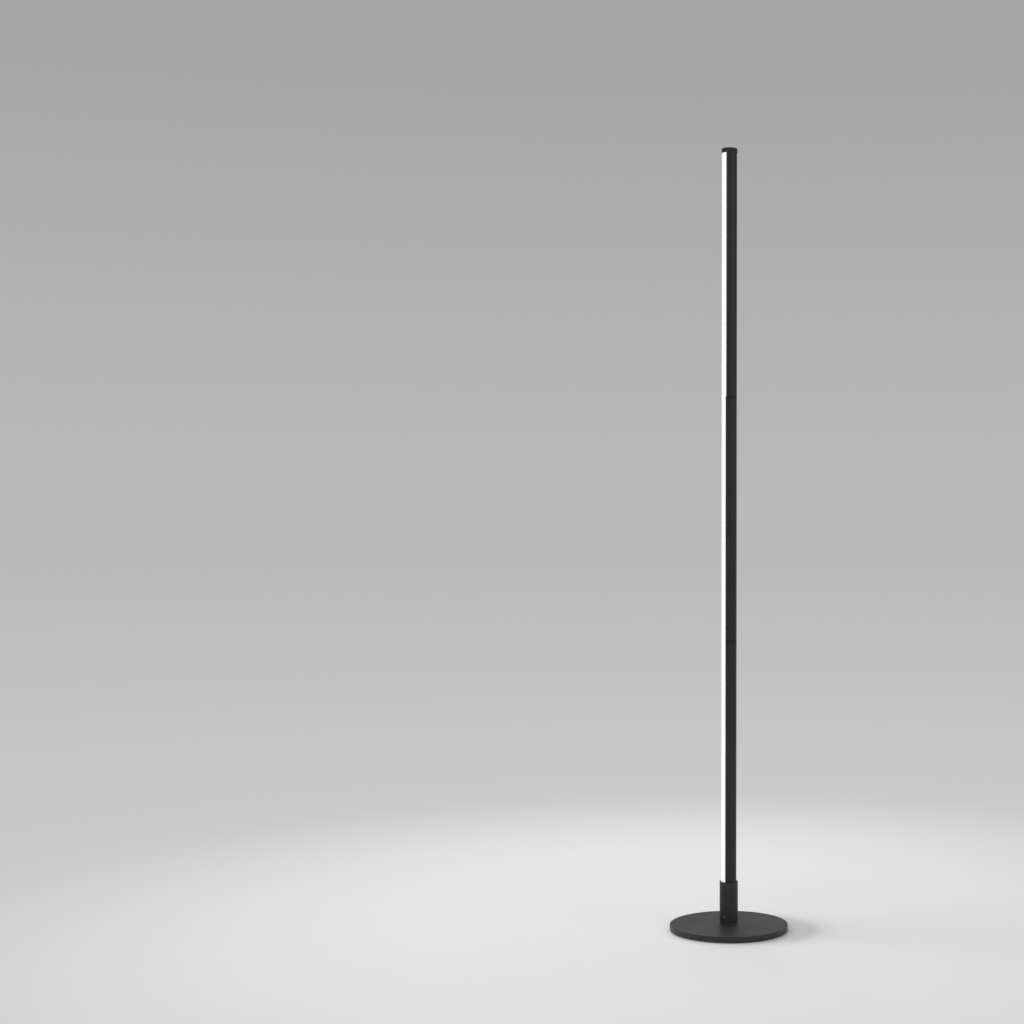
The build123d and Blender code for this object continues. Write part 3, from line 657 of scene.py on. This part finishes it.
# Spigots and sockets: at each seam a ground steel tube with a brass centre contact stands up from the
# part below and turns in a brass sleeve in the part above, on a nylon washer that fills the seam.
ground_steel = bare_metal("ground_steel", STEEL_COLOUR, STEEL_DULL, 0.2, (60, 60, 12000))
for owner in ("base", "lower", "middle"):
    dress(ground_steel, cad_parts[owner + "_spigot"])
    dress(bare_brass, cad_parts[owner + "_contact_pin"])
    dress(natural_nylon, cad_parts[owner + "_friction_washer"])
for section in ("lower", "middle", "upper"):
    dress(bare_brass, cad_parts[section + "_socket_sleeve"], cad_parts[section + "_contact_socket"])

# Poles: three lengths of one aluminium extrusion, black anodised. Each is a round tube cut flat for
# the light, with a web, two snap grooves for the diffuser and two screw ports in its rear chamber.
SECTION_TURN = {"lower": 0, "middle": 0, "upper": radians(4)}
POLE_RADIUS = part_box("lower_profile")[1].x
POLE_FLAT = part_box("lower_profile")[0].x
POLE_WALL = 1.6 * MM
POLE_INSIDE = POLE_RADIUS - POLE_WALL
WEB_BACK = POLE_FLAT + POLE_WALL
GROOVE = (9.2 * MM, 10.5 * MM, 11 * MM)
GROOVE_DEPTHS = (-5.9 * MM, -4.9 * MM)
CORNER = (-3.8 * MM, 7.9 * MM)
PORT = Vector((6 * MM, 7.15 * MM))
PORT_BOSS = 2.8 * MM
PORT_BORE = 1.25 * MM
ROUND_STEPS = 120
POLE_COLOUR = (0.0175, 0.0175, 0.0185, 1)
POLE_GREY = (0.027, 0.027, 0.028, 1)


def arc(centre, radius, start, end, steps):
    """Points along an arc, both ends included."""
    turns = [start + (end - start) * k / steps for k in range(steps + 1)]
    return [(centre[0] + radius * cos(t), centre[1] + radius * sin(t)) for t in turns]


def mirrored(points):
    """Half an outline above the X axis, closed by its mirror image below."""
    return points + [(x, -y) for x, y in reversed(points)]


def inset(outline, amount):
    """The outline drawn in by an amount, for the chamfer at a piece's end. It runs anticlockwise."""
    drawn = []
    for i, (x, y) in enumerate(outline):
        before = Vector(outline[i - 1])
        after = Vector(outline[(i + 1) % len(outline)])
        along_in = (Vector((x, y)) - before).normalized()
        along_out = (after - Vector((x, y))).normalized()
        normal = Vector((-along_in.y - along_out.y, along_in.x + along_out.x)).normalized()
        stretch = max(0.5, normal.dot(Vector((-along_in.y, along_in.x))))
        drawn.append((x + normal.x * amount / stretch, y + normal.y * amount / stretch))
    return drawn


def prism(shape, outlines, low, high, chamfer=0):
    """Adds a straight bar to a shape: the first outline is its outside, the others are its holes."""
    ends = ([], [])
    for number, outline in enumerate(outlines):
        levels = [(low, outline), (high, outline)]
        if chamfer and number == 0:
            small = inset(outline, chamfer)
            levels = [(low, small), (low + chamfer, outline), (high - chamfer, outline), (high, small)]
        rings = [[shape.verts.new((x, y, height)) for x, y in points] for height, points in levels]
        for ring, following in zip(rings, rings[1:]):
            for k in range(len(ring)):
                shape.faces.new((ring[k - 1], ring[k], following[k], following[k - 1]))
        for end, ring in zip(ends, (rings[0], rings[-1])):
            end.extend(shape.edges.get((ring[k - 1], ring[k])) for k in range(len(ring)))
    for end in ends:
        bmesh.ops.triangle_fill(shape, use_beauty=True, use_dissolve=False, edges=end)


def turned_with(section, shape):
    """Turns a shape about the lamp's axis, as its section stands."""
    turn = Matrix.Rotation(SECTION_TURN[section], 3, "Z")
    bmesh.ops.rotate(shape, cent=(0, 0, 0), matrix=turn, verts=shape.verts)
    return shape


flat_angle = acos(POLE_FLAT / POLE_RADIUS)
pole_outline = mirrored(
    arc((0, 0), POLE_RADIUS, 0, flat_angle, ROUND_STEPS)[1:]
    + [
        (POLE_FLAT, GROOVE[1]),
        (GROOVE_DEPTHS[0], GROOVE[1]),
        (GROOVE_DEPTHS[0], GROOVE[2]),
        (GROOVE_DEPTHS[1], GROOVE[2]),
        (GROOVE_DEPTHS[1], GROOVE[0]),
        (POLE_FLAT, GROOVE[0]),
    ]
)
port_angle = atan2(PORT.y, PORT.x)
along = (POLE_INSIDE**2 - PORT_BOSS**2 + PORT.length_squared) / (2 * PORT.length)
boss_half = acos(along / POLE_INSIDE)
boss_turn = acos((along - PORT.length) / PORT_BOSS)
corner_angle = acos(CORNER[0] / POLE_INSIDE)
chamber_outline = mirrored(
    arc((0, 0), POLE_INSIDE, 0, port_angle - boss_half, 24)[1:]
    + arc(PORT, PORT_BOSS, port_angle - boss_turn, port_angle + boss_turn - 2 * pi, 24)[1:-1]
    + arc((0, 0), POLE_INSIDE, port_angle + boss_half, corner_angle, 24)
    + [CORNER, (WEB_BACK, CORNER[1])]
)
port_outlines = [arc((PORT.x, side * PORT.y), PORT_BORE, 0, 2 * pi, 24)[1:] for side in (1, -1)]
drawn_black = anodised("drawn_black_anodised", POLE_COLOUR, POLE_GREY, (2600, 2600, 10), 0.38)
for section in SECTION_TURN:
    low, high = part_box(section + "_profile")
    shape = bmesh.new()
    prism(shape, [pole_outline, chamber_outline] + port_outlines, low.z, high.z)
    pole = settle(section + "_pole", turned_with(section, shape))
    dress(drawn_black, pole)
    place_on(pole, section + "_section", "pole_black", section + "_profile")

# Plugs: moulded ends that close each pole length. A flange as wide as the pole carries the seam, and
# an insert fills the rear chamber, bored for the sleeve or the spigot and screwed to the ports.
FLANGE = 3 * MM
FLANGE_CHAMFER = 0.15 * MM
INSERT_ROOM = 0.2 * MM
SLEEVE_BORE = 4.2 * MM
SPIGOT_BORE = 3.5 * MM
flange_outline = mirrored(arc((0, 0), POLE_RADIUS, 0, flat_angle, ROUND_STEPS)[1:])
insert_outline = inset(chamber_outline, INSERT_ROOM)
for section in SECTION_TURN:
    low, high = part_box(section + "_socket_plug")
    bore = arc((0, 0), SLEEVE_BORE, 0, 2 * pi, 48)[1:]
    shape = bmesh.new()
    prism(shape, [flange_outline, bore], low.z, low.z + FLANGE, FLANGE_CHAMFER)
    prism(shape, [insert_outline, bore], low.z + FLANGE, high.z)
    plug = settle(section + "_lower_plug", turned_with(section, shape))
    dress(black_moulding, plug)
    place_on(plug, section + "_section", "moulded_black", section + "_socket_plug")
for section in ("lower", "middle"):
    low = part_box(section + "_spigot_plug")[0].z
    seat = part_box(section + "_friction_washer")[0].z
    bore = arc((0, 0), SPIGOT_BORE, 0, 2 * pi, 48)[1:]
    shape = bmesh.new()
    prism(shape, [flange_outline, bore], seat - FLANGE, seat, FLANGE_CHAMFER)
    prism(shape, [insert_outline, bore], low, seat - FLANGE)
    plug = settle(section + "_upper_plug", turned_with(section, shape))
    dress(black_moulding, plug)
    place_on(plug, section + "_section", "moulded_black", section + "_spigot_plug")

# Light strips: an aluminium-core board with a white mask on the flat of each pole, a close row of
# diodes along it, and the leads that feed it and run on to the next length.
STRIP_WHITE = (0.8, 0.8, 0.78, 1)
STRIP_TRACK = (0.7, 0.7, 0.66, 1)
PHOSPHOR = (0.95, 0.78, 0.3, 1)
PHOSPHOR_PALE = (1.0, 0.9, 0.55, 1)
DIODE_GLOW = 1.0


def phosphor(name):
    """Clear resin over yellow phosphor, lit."""
    material, shader, place = new_finish(name)
    grains = noise(place, 2500.0, 2.0)
    feed(shader, {
        "Base Color": tint(grains, PHOSPHOR, PHOSPHOR_PALE),
        "Roughness": 0.15 + 0.1 * grains,
        "Emission Color": tint(grains, PHOSPHOR_PALE, (1, 1, 1, 1)),
        "Emission Strength": DIODE_GLOW,
    })
    return material


white_strip = laminate("white_strip_board", STRIP_WHITE, STRIP_TRACK, 0.35)
diode = phosphor("diode_phosphor")
for section in SECTION_TURN:
    dress(white_strip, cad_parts[section + "_led_board"])
    dress(diode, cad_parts[section + "_led_chips"])
    dress(lead_jacket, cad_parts[section + "_leads"])
    dress(black_oxide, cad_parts[section + "_plug_screws"])

# Diffusers: opal polycarbonate, extruded as an arc that completes the pole's round outline. Two
# barbed legs snap into the pole's grooves. The diodes behind light it an even white.
OPAL_WALL = 1.8 * MM
OPAL_GAP = 0.1 * MM
OPAL_SOFT = 0.3 * MM
OPAL_CHAMFER = 0.2 * MM
OPAL_WHITE = (0.8, 0.8, 0.79, 1)
OPAL_SHADE = (0.76, 0.76, 0.75, 1)
GLOW_MIDDLE = (1.0, 1.0, 0.99, 1)
GLOW_EDGE = (0.9, 0.9, 0.9, 1)
GLOW = 0.55
DIODE_PITCH = 8.65 * MM
LEG = (9.45 * MM, 10.25 * MM, 10.75 * MM)
LEG_DEPTHS = (-5.8 * MM, -5.1 * MM)
LEG_INSET = 3.5 * MM


def opal(name, turn):
    """Opal plastic lit from behind: brightest along its middle, with a trace of the diodes' spacing."""
    material, shader, place = new_finish(name)
    height = place.node("SeparateXYZ", {}, {0: place}, "Z")
    across = place.node("VectorMath", {"operation": "DOT_PRODUCT"},
                        {0: place, 1: (-sin(turn), cos(turn), 0)}, "Value")
    beat = place.node("Math", {"operation": "COSINE"}, {0: height * (2 * pi / DIODE_PITCH)})
    off_middle = (across / POLE_RADIUS) ** 2
    flow = noise(stretched(place, (900, 900, 6)), 1.0, 2.0)
    feed(shader, {
        "Base Color": tint(flow, OPAL_WHITE, OPAL_SHADE),
        "Roughness": 0.42 + 0.12 * flow,
        "Emission Color": tint(off_middle * 1.1 - 0.02 * beat, GLOW_MIDDLE, GLOW_EDGE),
        "Emission Strength": GLOW,
        "Normal": relief(flow, 0.01 * MM),
    })
    return material


opal_edge = POLE_FLAT - OPAL_GAP
outer_angle = acos(opal_edge / POLE_RADIUS)
inner_angle = acos(opal_edge / (POLE_RADIUS - OPAL_WALL))
soft_turn = OPAL_SOFT / POLE_RADIUS
opal_outline = (
    arc((0, 0), POLE_RADIUS, outer_angle + soft_turn, 2 * pi - outer_angle - soft_turn, 96)
    + [(opal_edge, -POLE_RADIUS * sin(outer_angle) + 1.2 * OPAL_SOFT)]
    + arc((0, 0), POLE_RADIUS - OPAL_WALL, 2 * pi - inner_angle, inner_angle, 96)
    + [(opal_edge, POLE_RADIUS * sin(outer_angle) - 1.2 * OPAL_SOFT)]
)
for section in SECTION_TURN:
    low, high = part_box(section + "_diffuser")
    shape = bmesh.new()
    prism(shape, [opal_outline], low.z, high.z, OPAL_CHAMFER)
    for side in (1, -1):
        leg_outline = [
            (opal_edge + OPAL_GAP / 2, side * LEG[0]),
            (LEG_DEPTHS[1], side * LEG[0]),
            (LEG_DEPTHS[1], side * LEG[2]),
            (LEG_DEPTHS[0], side * LEG[2]),
            (LEG_DEPTHS[0], side * LEG[1]),
            (opal_edge + OPAL_GAP / 2, side * LEG[1]),
        ]
        prism(shape, [leg_outline], low.z + LEG_INSET, high.z - LEG_INSET)
    diffuser = settle(section + "_opal", turned_with(section, shape))
    dress(opal("lit_opal_" + section, SECTION_TURN[section]), diffuser)
    place_on(diffuser, section + "_section", "diffuser_opal", section + "_diffuser")

# Top cap: a moulded disc a little wider than the pole, its upper rim rounded, held down by two
# countersunk screws that run into the pole's ports.
CAP_ROUND = 0.8 * MM
CAP_SOFT = 0.3 * MM
CAP_INSERT = 10 * MM
CAP_SCREW_HEAD = 2.4 * MM
CAP_SCREW_SHANK = 1.2 * MM
CAP_SCREW_LENGTH = 12 * MM
CAP_SCREW_HOLE = 1.5 * MM
CAP_SCREW_ROOM = 0.1 * MM
CAP_SCREW_SOCKET = 1.5 * MM
CAP_SCREW_SOCKET_DEPTH = 0.9 * MM
CAP_SCREW_RIM = 1.1 * MM
CAP_SCREW_EDGE = 0.15 * MM
CAP_SCREW_SUNK = 0.02 * MM
CUT_PAST = 1 * MM
cap_low, cap_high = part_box("top_cap")
cap_foot = cap_low.z + CAP_INSERT
cap = spin("pole_cap", rounded([
    (0, cap_foot, 0),
    (cap_high.x, cap_foot, CAP_SOFT),
    (cap_high.x, cap_high.z, CAP_ROUND),
    (0, cap_high.z, 0),
]))
cap_turn = Matrix.Rotation(SECTION_TURN["upper"], 4, "Z")
port_places = [cap_turn @ Vector((PORT.x, side * PORT.y, 0)) for side in (1, -1)]
sinks = []
for number, spot in enumerate(port_places):
    sink = spin(f"countersink_{number}", [
        (0, cap_foot - CUT_PAST),
        (CAP_SCREW_HOLE, cap_foot - CUT_PAST),
        (CAP_SCREW_HOLE, cap_high.z - CAP_SCREW_HEAD - CAP_SCREW_ROOM + CAP_SCREW_HOLE),
        (CAP_SCREW_HEAD + CAP_SCREW_ROOM, cap_high.z),
        (CAP_SCREW_HEAD + CAP_SCREW_ROOM, cap_high.z + CUT_PAST),
        (0, cap_high.z + CUT_PAST),
    ], sides=64)
    sink.data.transform(Matrix.Translation(spot))
    sinks.append(sink)
cut_away(cap, *sinks)
screw_face = cap_high.z - CAP_SCREW_SUNK
dress(black_moulding, cap)
place_on(cap, "upper_section", "moulded_black", "top_cap")
for number, spot in enumerate(port_places):
    screw = socket_screw(f"cap_screw_{number}", [
        (0, cap_high.z - CAP_SCREW_LENGTH),
        (CAP_SCREW_SHANK, cap_high.z - CAP_SCREW_LENGTH),
        (CAP_SCREW_SHANK, cap_high.z - CAP_SCREW_HEAD + CAP_SCREW_SHANK),
        (CAP_SCREW_HEAD, cap_high.z - CAP_SCREW_EDGE),
        (CAP_SCREW_HEAD - CAP_SCREW_EDGE, screw_face),
        (CAP_SCREW_RIM, screw_face),
    ], CAP_SCREW_SOCKET, screw_face, CAP_SCREW_SOCKET_DEPTH)
    screw.data.transform(Matrix.Translation(spot))
    dress(black_oxide, screw)
    place_on(screw, "upper_section", "screw_black", "cap_screws")

# Floor and backdrop: a pale matt floor that takes the disc's shadow and fades into a glowing grey backdrop
# with distance from the lamp, alike in every direction, so that the white light reads. The backdrop's grey
# is painted lighter near the lamp and darker farther out: a painted falloff of light.
FLOOR_REACH = 40.0
FLOOR_DROP = 0.3 * MM
FLOOR_PALE = (0.87, 0.87, 0.87, 1)
FLOOR_SHADE = (0.85, 0.85, 0.85, 1)
BACKDROP_NEAR_PAINTED_LIGHT = (0.65, 0.65, 0.65, 1)
BACKDROP = (0.487, 0.487, 0.487, 1)
BACKDROP_HIGH = (0.375, 0.375, 0.375, 1)
FADE = (0.45, 1.7)
FADE_HALF = 3.0
shape = bmesh.new()
bmesh.ops.create_circle(shape, cap_ends=True, segments=96, radius=FLOOR_REACH)
floor = settle("floor", shape)
floor.location.z = -FLOOR_DROP
material, shader, place = new_finish("pale_floor")
speckle = noise(place, 3.0, 4.0)
feed(shader, {
    "Base Color": tint(speckle, FLOOR_PALE, FLOOR_SHADE),
    "Roughness": 0.7 + 0.1 * speckle,
    "Specular IOR Level": 0.2,
})
away = place.node("VectorMath", {"operation": "LENGTH"}, {0: place}, "Value")
rim_share = FLOOR_REACH / (FLOOR_REACH + FADE_HALF)
# Painted falloff of light: the backdrop's grey runs from lighter near the lamp to darker far off.
painted_falloff_tone = tint(away / (away + FADE_HALF) / rim_share, BACKDROP_NEAR_PAINTED_LIGHT, BACKDROP)
swept = ramp(away, *FADE)
glow = place.node("Emission", {}, {"Color": painted_falloff_tone, "Strength": 1.0})
mixed = place.node("MixShader", {}, {0: swept, 1: Wire(shader.outputs["BSDF"]), 2: glow})
feed(material.node_tree.nodes["Material Output"], {"Surface": mixed})
dress(material, floor)

# Studio light: a grey surround, a gentle fill from all round, a broad soft lamp from the upper left in
# front and weaker ones at the right and behind. A long low lamp far to the left lights the floor alone:
# it draws the disc's long soft shadow, and the light on the object itself stays at a plain level.
SURROUND_FILL = 0.27
HAZE = (-0.02, 0.3)
LAMP_TARGET = Vector((0, 0, 0.6))
floor_alone = bpy.data.collections.new("floor_alone")
floor_alone.objects.link(floor)
world = bpy.data.worlds.new("studio")
bpy.context.scene.world = world
world.use_nodes = True
background = world.node_tree.nodes["Background"]
light_path = world.node_tree.nodes.new("ShaderNodeLightPath")
shown = Wire(light_path.outputs["Is Camera Ray"])
for name in ("Is Glossy Ray", "Is Transmission Ray"):
    shown = shown.sum("MAXIMUM", shown, Wire(light_path.outputs[name]))
direction = Wire(world.node_tree.nodes.new("ShaderNodeTexCoord").outputs["Generated"])
height = direction.node("SeparateXYZ", {}, {0: direction}, "Z")
backdrop = tint(ramp(height, *HAZE), BACKDROP, BACKDROP_HIGH)
feed(background, {"Color": tint(shown, (SURROUND_FILL,) * 3 + (1,), backdrop), "Strength": 1.0})
for name, place_at, width, breadth, power in (
    ("key", (-2.4, -2.6, 3.2), 2.4, 2.4, 35.0),
    ("side", (-14.0, 0.3, 2.3), 14.0, 2.0, 4200.0),
    ("fill", (2.6, -2.2, 2.0), 2.2, 2.2, 20.0),
    ("back", (0.0, 2.8, 2.0), 2.6, 1.4, 40.0),
):
    lamp = bpy.data.lights.new(name, "AREA")
    lamp.shape = "RECTANGLE"
    lamp.energy = power
    lamp.size = width
    lamp.size_y = breadth
    holder = bpy.data.objects.new(name, lamp)
    holder.location = place_at
    holder.rotation_euler = (LAMP_TARGET - holder.location).to_track_quat("-Z", "Y").to_euler()
    holder.visible_camera = False
    holder.visible_glossy = name in ("key", "fill")
    bpy.context.scene.collection.objects.link(holder)
    if name == "side":
        holder.light_linking.receiver_collection = floor_alone
